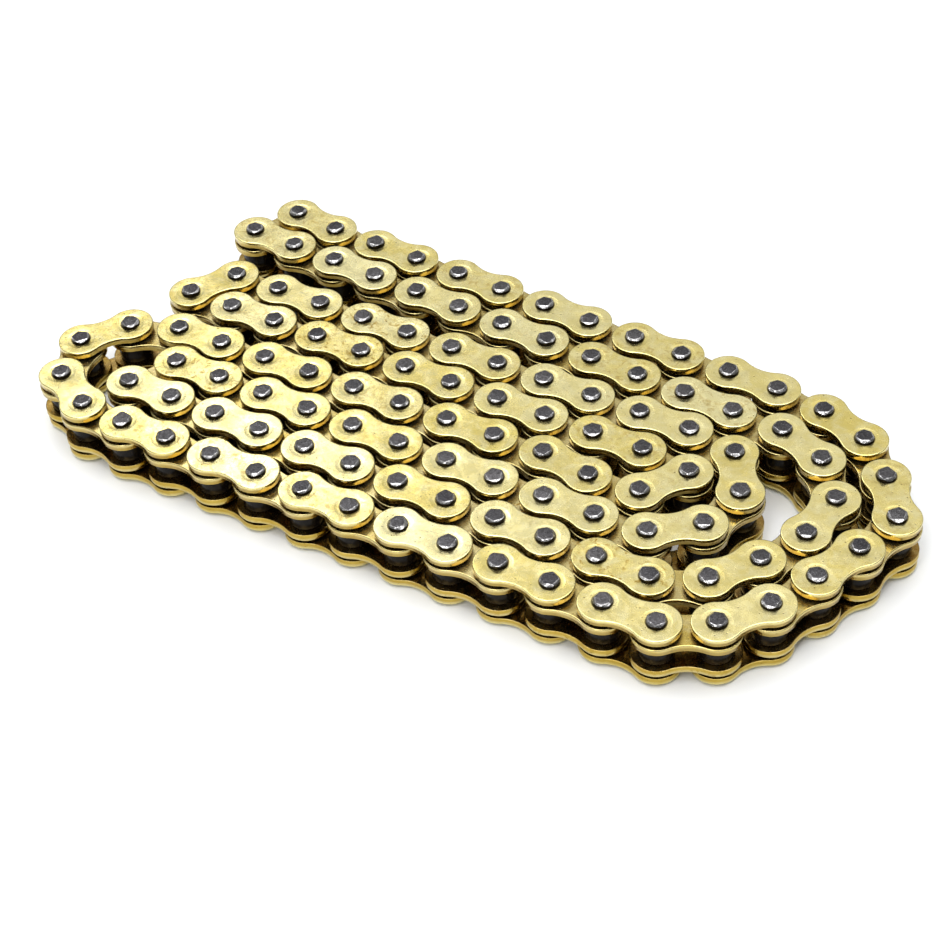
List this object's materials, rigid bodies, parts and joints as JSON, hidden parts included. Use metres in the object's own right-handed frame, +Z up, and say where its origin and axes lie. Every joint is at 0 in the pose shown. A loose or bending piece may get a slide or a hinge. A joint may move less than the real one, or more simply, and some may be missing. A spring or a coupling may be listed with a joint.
{
  "type": "drive chain",
  "caption": "Endless roller drive chain for a motorcycle, with gold waisted plates, steel pins, black rollers and seal rings, folded flat in rows.",
  "frame": {"origin": "on the surface the chain lies on, under the middle of the folded chain", "axes": "+X along the rows, +Z up along the pins"},
  "size_m": [0.2635, 0.1212, 0.0202],
  "materials": {
    "plate_gold": "gold-coloured plating on steel, slightly hazy",
    "pin_steel": "dark gunmetal steel with bright peened ends",
    "bushing_steel": "plain ground steel",
    "roller_black": "black oxide, glossy with oil",
    "seal_rubber": "matt black nitrile"
  },
  "bodies": {
    "folded_run": {"outer_plates": "plate_gold", "inner_plates": "plate_gold", "link_pins": "pin_steel", "bushings": "bushing_steel", "rollers": "roller_black", "seal_rings": "seal_rubber"},
    "link_01": {"link_01_inner_plates": "plate_gold", "link_01_bushings": "bushing_steel", "link_01_seal_rings": "seal_rubber"},
    "link_02": {"link_02_outer_plates": "plate_gold", "link_02_pins": "pin_steel"},
    "link_03": {"link_03_inner_plates": "plate_gold", "link_03_bushings": "bushing_steel", "link_03_seal_rings": "seal_rubber"},
    "link_04": {"link_04_outer_plates": "plate_gold", "link_04_pins": "pin_steel"},
    "link_05": {"link_05_inner_plates": "plate_gold", "link_05_bushings": "bushing_steel", "link_05_seal_rings": "seal_rubber"},
    "link_06": {"link_06_outer_plates": "plate_gold", "link_06_pins": "pin_steel"},
    "link_07": {"link_07_inner_plates": "plate_gold", "link_07_bushings": "bushing_steel", "link_07_seal_rings": "seal_rubber"},
    "link_08": {"link_08_outer_plates": "plate_gold", "link_08_pins": "pin_steel"},
    "link_09": {"link_09_inner_plates": "plate_gold", "link_09_bushings": "bushing_steel", "link_09_seal_rings": "seal_rubber"},
    "link_10": {"link_10_outer_plates": "plate_gold", "link_10_pins": "pin_steel"},
    "link_11": {"link_11_inner_plates": "plate_gold", "link_11_bushings": "bushing_steel", "link_11_seal_rings": "seal_rubber"},
    "link_12": {"link_12_outer_plates": "plate_gold", "link_12_pins": "pin_steel"},
    "link_13": {"link_13_inner_plates": "plate_gold", "link_13_bushings": "bushing_steel", "link_13_seal_rings": "seal_rubber"},
    "link_14": {"link_14_outer_plates": "plate_gold", "link_14_pins": "pin_steel"},
    "link_15": {"link_15_inner_plates": "plate_gold", "link_15_bushings": "bushing_steel", "link_15_seal_rings": "seal_rubber"},
    "link_01_roller_a": {"link_01_roller_a": "roller_black"},
    "link_01_roller_b": {"link_01_roller_b": "roller_black"},
    "link_03_roller_a": {"link_03_roller_a": "roller_black"},
    "link_03_roller_b": {"link_03_roller_b": "roller_black"},
    "link_05_roller_a": {"link_05_roller_a": "roller_black"},
    "link_05_roller_b": {"link_05_roller_b": "roller_black"},
    "link_07_roller_a": {"link_07_roller_a": "roller_black"},
    "link_07_roller_b": {"link_07_roller_b": "roller_black"},
    "link_09_roller_a": {"link_09_roller_a": "roller_black"},
    "link_09_roller_b": {"link_09_roller_b": "roller_black"},
    "link_11_roller_a": {"link_11_roller_a": "roller_black"},
    "link_11_roller_b": {"link_11_roller_b": "roller_black"},
    "link_13_roller_a": {"link_13_roller_a": "roller_black"},
    "link_13_roller_b": {"link_13_roller_b": "roller_black"},
    "link_15_roller_a": {"link_15_roller_a": "roller_black"},
    "link_15_roller_b": {"link_15_roller_b": "roller_black"}
  },
  "joints": [
    {"name": "link_01_hinge", "type": "hinge", "parent": "folded_run", "child": "link_01", "pos_m": [-0.07405, -0.0529, 0.01008], "axis": [0, 0, -1], "range_deg": [0, 22.5]},
    {"name": "link_02_hinge", "type": "hinge", "parent": "link_01", "child": "link_02", "pos_m": [-0.05819, -0.05234, 0.01008], "axis": [0, 0, -1], "range_deg": [0, 22.5]},
    {"name": "link_03_hinge", "type": "hinge", "parent": "link_02", "child": "link_03", "pos_m": [-0.04232, -0.05179, 0.01008], "axis": [0, 0, -1], "range_deg": [0, 22.5]},
    {"name": "link_04_hinge", "type": "hinge", "parent": "link_03", "child": "link_04", "pos_m": [-0.02646, -0.05123, 0.01008], "axis": [0, 0, -1], "range_deg": [0, 22.5]},
    {"name": "link_05_hinge", "type": "hinge", "parent": "link_04", "child": "link_05", "pos_m": [-0.01059, -0.05068, 0.01008], "axis": [0, 0, -1], "range_deg": [0, 22.5]},
    {"name": "link_06_hinge", "type": "hinge", "parent": "link_05", "child": "link_06", "pos_m": [0.00527, -0.05013, 0.01008], "axis": [0, 0, -1], "range_deg": [0, 22.5]},
    {"name": "link_07_hinge", "type": "hinge", "parent": "link_06", "child": "link_07", "pos_m": [0.02114, -0.04957, 0.01008], "axis": [0, 0, -1], "range_deg": [0, 22.5]},
    {"name": "link_08_hinge", "type": "hinge", "parent": "link_07", "child": "link_08", "pos_m": [0.037, -0.04902, 0.01008], "axis": [0, 0, -1], "range_deg": [0, 22.5]},
    {"name": "link_09_hinge", "type": "hinge", "parent": "link_08", "child": "link_09", "pos_m": [0.05287, -0.04846, 0.01008], "axis": [0, 0, -1], "range_deg": [0, 22.5]},
    {"name": "link_10_hinge", "type": "hinge", "parent": "link_09", "child": "link_10", "pos_m": [0.06873, -0.04791, 0.01008], "axis": [0, 0, -1], "range_deg": [0, 22.5]},
    {"name": "link_11_hinge", "type": "hinge", "parent": "link_10", "child": "link_11", "pos_m": [0.0846, -0.04736, 0.01008], "axis": [0, 0, -1], "range_deg": [0, 22.5]},
    {"name": "link_12_hinge", "type": "hinge", "parent": "link_11", "child": "link_12", "pos_m": [0.09848, -0.03966, 0.01008], "axis": [0, 0, -1], "range_deg": [0, 22.5]},
    {"name": "link_13_hinge", "type": "hinge", "parent": "link_12", "child": "link_13", "pos_m": [0.10804, -0.02698, 0.01008], "axis": [0, 0, -1], "range_deg": [0, 22.5]},
    {"name": "link_14_hinge", "type": "hinge", "parent": "link_13", "child": "link_14", "pos_m": [0.11449, -0.01248, 0.01008], "axis": [0, 0, -1], "range_deg": [0, 22.5]},
    {"name": "link_15_hinge", "type": "hinge", "parent": "link_14", "child": "link_15", "pos_m": [0.12018, 0.00234, 0.01008], "axis": [0, 0, -1], "range_deg": [0, 120]},
    {"name": "link_01_roller_a_spin", "type": "hinge", "parent": "link_01", "child": "link_01_roller_a", "pos_m": [-0.07405, -0.0529, 0.01008], "axis": [0, 0, 1], "continuous": true},
    {"name": "link_01_roller_b_spin", "type": "hinge", "parent": "link_01", "child": "link_01_roller_b", "pos_m": [-0.05819, -0.05234, 0.01008], "axis": [0, 0, 1], "continuous": true},
    {"name": "link_03_roller_a_spin", "type": "hinge", "parent": "link_03", "child": "link_03_roller_a", "pos_m": [-0.04232, -0.05179, 0.01008], "axis": [0, 0, 1], "continuous": true},
    {"name": "link_03_roller_b_spin", "type": "hinge", "parent": "link_03", "child": "link_03_roller_b", "pos_m": [-0.02646, -0.05123, 0.01008], "axis": [0, 0, 1], "continuous": true},
    {"name": "link_05_roller_a_spin", "type": "hinge", "parent": "link_05", "child": "link_05_roller_a", "pos_m": [-0.01059, -0.05068, 0.01008], "axis": [0, 0, 1], "continuous": true},
    {"name": "link_05_roller_b_spin", "type": "hinge", "parent": "link_05", "child": "link_05_roller_b", "pos_m": [0.00527, -0.05013, 0.01008], "axis": [0, 0, 1], "continuous": true},
    {"name": "link_07_roller_a_spin", "type": "hinge", "parent": "link_07", "child": "link_07_roller_a", "pos_m": [0.02114, -0.04957, 0.01008], "axis": [0, 0, 1], "continuous": true},
    {"name": "link_07_roller_b_spin", "type": "hinge", "parent": "link_07", "child": "link_07_roller_b", "pos_m": [0.037, -0.04902, 0.01008], "axis": [0, 0, 1], "continuous": true},
    {"name": "link_09_roller_a_spin", "type": "hinge", "parent": "link_09", "child": "link_09_roller_a", "pos_m": [0.05287, -0.04846, 0.01008], "axis": [0, 0, 1], "continuous": true},
    {"name": "link_09_roller_b_spin", "type": "hinge", "parent": "link_09", "child": "link_09_roller_b", "pos_m": [0.06873, -0.04791, 0.01008], "axis": [0, 0, 1], "continuous": true},
    {"name": "link_11_roller_a_spin", "type": "hinge", "parent": "link_11", "child": "link_11_roller_a", "pos_m": [0.0846, -0.04736, 0.01008], "axis": [0, 0, 1], "continuous": true},
    {"name": "link_11_roller_b_spin", "type": "hinge", "parent": "link_11", "child": "link_11_roller_b", "pos_m": [0.09848, -0.03966, 0.01008], "axis": [0, 0, 1], "continuous": true},
    {"name": "link_13_roller_a_spin", "type": "hinge", "parent": "link_13", "child": "link_13_roller_a", "pos_m": [0.10804, -0.02698, 0.01008], "axis": [0, 0, 1], "continuous": true},
    {"name": "link_13_roller_b_spin", "type": "hinge", "parent": "link_13", "child": "link_13_roller_b", "pos_m": [0.11449, -0.01248, 0.01008], "axis": [0, 0, 1], "continuous": true},
    {"name": "link_15_roller_a_spin", "type": "hinge", "parent": "link_15", "child": "link_15_roller_a", "pos_m": [0.12018, 0.00234, 0.01008], "axis": [0, 0, 1], "continuous": true},
    {"name": "link_15_roller_b_spin", "type": "hinge", "parent": "link_15", "child": "link_15_roller_b", "pos_m": [0.12456, 0.0176, 0.01008], "axis": [0, 0, 1], "continuous": true}
  ],
  "couplings": [
    {"joint": "link_02_hinge", "follows": "link_01_hinge", "ratio": 1},
    {"joint": "link_03_hinge", "follows": "link_01_hinge", "ratio": 1},
    {"joint": "link_04_hinge", "follows": "link_01_hinge", "ratio": 1},
    {"joint": "link_05_hinge", "follows": "link_01_hinge", "ratio": 1},
    {"joint": "link_06_hinge", "follows": "link_01_hinge", "ratio": 1},
    {"joint": "link_07_hinge", "follows": "link_01_hinge", "ratio": 1},
    {"joint": "link_08_hinge", "follows": "link_01_hinge", "ratio": 1},
    {"joint": "link_09_hinge", "follows": "link_01_hinge", "ratio": 1},
    {"joint": "link_10_hinge", "follows": "link_01_hinge", "ratio": 1},
    {"joint": "link_11_hinge", "follows": "link_01_hinge", "ratio": 1},
    {"joint": "link_12_hinge", "follows": "link_01_hinge", "ratio": 1},
    {"joint": "link_13_hinge", "follows": "link_01_hinge", "ratio": 1},
    {"joint": "link_14_hinge", "follows": "link_01_hinge", "ratio": 1}
  ]
}
